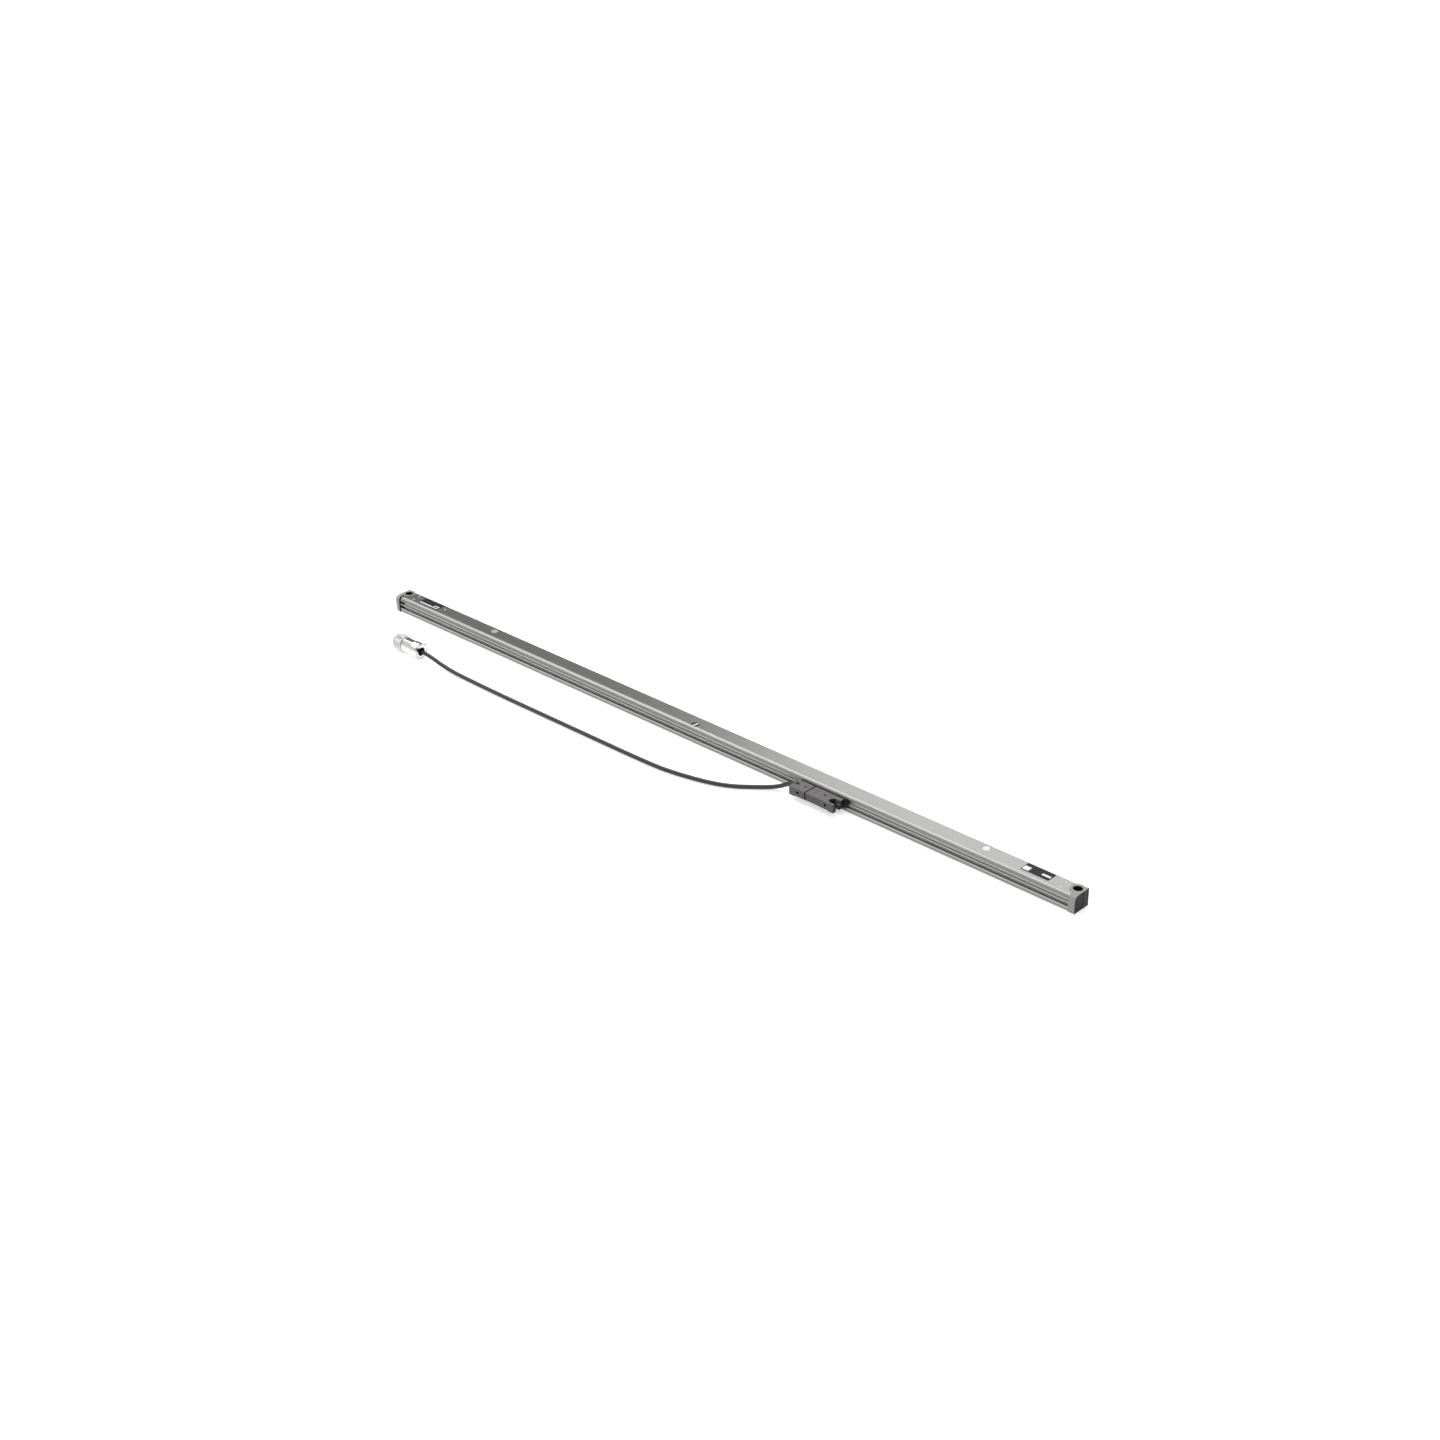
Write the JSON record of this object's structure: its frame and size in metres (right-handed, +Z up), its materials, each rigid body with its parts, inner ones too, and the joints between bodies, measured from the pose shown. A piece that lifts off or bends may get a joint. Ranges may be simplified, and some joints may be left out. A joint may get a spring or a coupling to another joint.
{
  "type": "magnetic linear scale",
  "caption": "Long enclosed linear scale: slotted aluminium housing with end caps and mounting eyes, sliding reading head, black signal cable and round connector.",
  "frame": {"origin": "under the middle of the housing and reading head together, in the plane that the end caps stand on", "axes": "+X along the housing towards the reading head's end, +Y from the head's side to the back, +Z up through the labelled top face"},
  "size_m": [1.032, 0.1022, 0.0213],
  "materials": {
    "anodised_aluminium": "matt silver anodised extrusion",
    "cast_cap": "matt die-cast",
    "black_rubber": "matt black",
    "label_film": "satin black film with plain white fields",
    "bright_screw": "bright zinc",
    "dark_screw": "black oxide",
    "grey_plug": "matt grey",
    "white_plug": "matt white",
    "steel_bar": "ground",
    "magnet_strip": "matt dark brown",
    "grey_cast_head": "matt grey cast metal",
    "black_neck": "matt black",
    "carriage_plastic": "dark moulded",
    "circuit_board": "green solder mask",
    "chip_black": "matt black",
    "spring_steel": "bright spring steel",
    "cable_jacket": "satin black jacket",
    "plated_metal": "bright nickel plating",
    "insert_plastic": "matt black insulator"
  },
  "bodies": {
    "housing": {"housing_roof": "anodised_aluminium", "housing_rail": "anodised_aluminium", "housing_sill": "anodised_aluminium", "housing_floor": "anodised_aluminium", "housing_web": "anodised_aluminium", "housing_back": "anodised_aluminium", "end_cap_left": "cast_cap", "end_cap_right": "cast_cap", "end_gasket_left": "black_rubber", "end_gasket_right": "black_rubber", "end_buffer_left": "black_rubber", "end_buffer_right": "black_rubber", "carrier_bar": "steel_bar", "magnetic_strip": "magnet_strip", "lip_seal_upper": "black_rubber", "lip_seal_lower": "black_rubber", "label_left": "label_film", "label_right": "label_film", "hole_plug_left": "grey_plug", "hole_plug_right": "white_plug", "mid_screw": "dark_screw", "top_screw": "bright_screw", "cap_screw_left_front": "bright_screw", "cap_screw_left_rear": "bright_screw", "cap_screw_right_front": "bright_screw", "cap_screw_right_rear": "bright_screw"},
    "slider": {"head_cable_block": "grey_cast_head", "head_main_block": "grey_cast_head", "head_seam_gasket": "black_rubber", "head_screw_left": "dark_screw", "head_screw_right": "dark_screw", "signal_board": "circuit_board", "cable_gland": "black_rubber", "neck_plate": "black_neck", "carriage": "carriage_plastic", "sensor_board": "circuit_board", "sensor_chip": "chip_black", "preload_spring": "spring_steel", "face_axle_left": "bright_screw", "face_axle_right": "bright_screw", "edge_axle_left": "bright_screw", "edge_axle_right": "bright_screw", "signal_cable": "cable_jacket", "cable_clamp": "black_rubber", "connector_nut": "plated_metal", "connector_barrel": "plated_metal", "connector_insert": "insert_plastic"},
    "coupling_ring": {"coupling_ring": "plated_metal"},
    "face_roller_left": {"face_roller_left": "steel_bar"},
    "face_roller_right": {"face_roller_right": "steel_bar"},
    "edge_roller_left": {"edge_roller_left": "steel_bar"},
    "edge_roller_right": {"edge_roller_right": "steel_bar"}
  },
  "joints": [
    {"name": "head_slide", "type": "slide", "parent": "housing", "child": "slider", "axis": [1, 0, 0], "range_m": [-0.6432, 0.2636]},
    {"name": "coupling_ring_turn", "type": "hinge", "parent": "slider", "child": "coupling_ring", "pos_m": [-0.4215, -0.0705, 0.0107], "axis": [1, 0, 0], "continuous": true},
    {"name": "face_roller_left_spin", "type": "hinge", "parent": "slider", "child": "face_roller_left", "pos_m": [0.1668, 0.0069, 0.014], "axis": [0, 0, 1], "continuous": true},
    {"name": "face_roller_right_spin", "type": "hinge", "parent": "slider", "child": "face_roller_right", "pos_m": [0.2128, 0.0069, 0.014], "axis": [0, 0, 1], "continuous": true},
    {"name": "edge_roller_left_spin", "type": "hinge", "parent": "slider", "child": "edge_roller_left", "pos_m": [0.1623, 0.005, 0.0048], "axis": [0, 1, 0], "continuous": true},
    {"name": "edge_roller_right_spin", "type": "hinge", "parent": "slider", "child": "edge_roller_right", "pos_m": [0.2173, 0.005, 0.0048], "axis": [0, 1, 0], "continuous": true}
  ],
  "couplings": [
    {"joint": "face_roller_left_spin", "follows": "head_slide", "rad_per_m": 526.32},
    {"joint": "face_roller_right_spin", "follows": "head_slide", "rad_per_m": 526.32},
    {"joint": "edge_roller_left_spin", "follows": "head_slide", "rad_per_m": 526.32},
    {"joint": "edge_roller_right_spin", "follows": "head_slide", "rad_per_m": 526.32}
  ]
}
